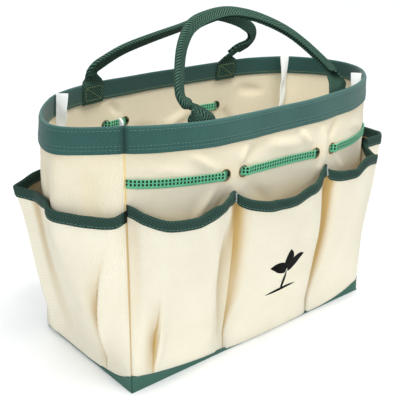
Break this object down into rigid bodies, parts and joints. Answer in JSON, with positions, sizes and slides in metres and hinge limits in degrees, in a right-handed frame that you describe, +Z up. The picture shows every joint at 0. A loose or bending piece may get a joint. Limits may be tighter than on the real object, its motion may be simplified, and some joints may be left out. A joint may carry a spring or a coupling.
{
  "type": "garden tool bag",
  "caption": "Open-topped canvas tote with a bound rim, open pockets on all sides, elastic tool loops threaded through eyelets, and carrying handles.",
  "frame": {"origin": "centre of the flat underside, on the surface the bag stands on", "axes": "+Z up; +X along the bag from its left end to its right end as seen from the front; the front faces -Y"},
  "size_m": [0.396, 0.2212, 0.3158],
  "materials": {
    "canvas": "matte plain weave, cream",
    "rim_cloth": "matte plain weave, dark green",
    "base_cloth": "matte plain weave, green",
    "binding_tape": "ribbed webbing, dark green",
    "webbing": "herringbone webbing, dark green",
    "elastic": "ribbed elastic, bright green with black dashes",
    "seam_tape": "smooth woven tape, white",
    "board": "matte",
    "eyelet_brass": "aged, satin"
  },
  "bodies": {
    "bag": {"base_tray": "base_cloth", "base_board": "board", "front_panel": "canvas", "rim_band_front": "rim_cloth", "right_panel": "canvas", "rim_band_right": "rim_cloth", "back_panel": "canvas", "rim_band_back": "rim_cloth", "left_panel": "canvas", "rim_band_left": "rim_cloth", "seam_tape_front_right": "seam_tape", "seam_tape_back_right": "seam_tape", "seam_tape_back_left": "seam_tape", "seam_tape_front_left": "seam_tape", "front_pocket_left": "canvas", "front_pocket_left_binding": "binding_tape", "front_pocket_middle": "canvas", "front_pocket_middle_binding": "binding_tape", "front_pocket_right": "canvas", "front_pocket_right_binding": "binding_tape", "elastic_front": "elastic", "eyelet_front_1": "eyelet_brass", "eyelet_front_2": "eyelet_brass", "eyelet_front_3": "eyelet_brass", "eyelet_front_4": "eyelet_brass", "back_pocket_right": "canvas", "back_pocket_right_binding": "binding_tape", "back_pocket_middle": "canvas", "back_pocket_middle_binding": "binding_tape", "back_pocket_left": "canvas", "back_pocket_left_binding": "binding_tape", "elastic_back": "elastic", "eyelet_back_1": "eyelet_brass", "eyelet_back_2": "eyelet_brass", "eyelet_back_3": "eyelet_brass", "eyelet_back_4": "eyelet_brass", "left_end_pocket": "canvas", "left_end_pocket_binding": "binding_tape", "right_end_pocket": "canvas", "right_end_pocket_binding": "binding_tape", "handle_front_tab_left": "webbing", "handle_front_tab_right": "webbing", "handle_back_tab_right": "webbing", "handle_back_tab_left": "webbing"},
    "front_handle": {"handle_front_loop": "webbing"},
    "back_handle": {"handle_back_loop": "webbing"}
  },
  "joints": [
    {"name": "front_handle_fold", "type": "hinge", "parent": "bag", "child": "front_handle", "pos_m": [0, -0.07182, 0.24366], "axis": [1, 0, 0], "range_deg": [0, 145]},
    {"name": "back_handle_fold", "type": "hinge", "parent": "bag", "child": "back_handle", "pos_m": [0, 0.07361, 0.24415], "axis": [-1, 0, 0], "range_deg": [0, 130]}
  ]
}
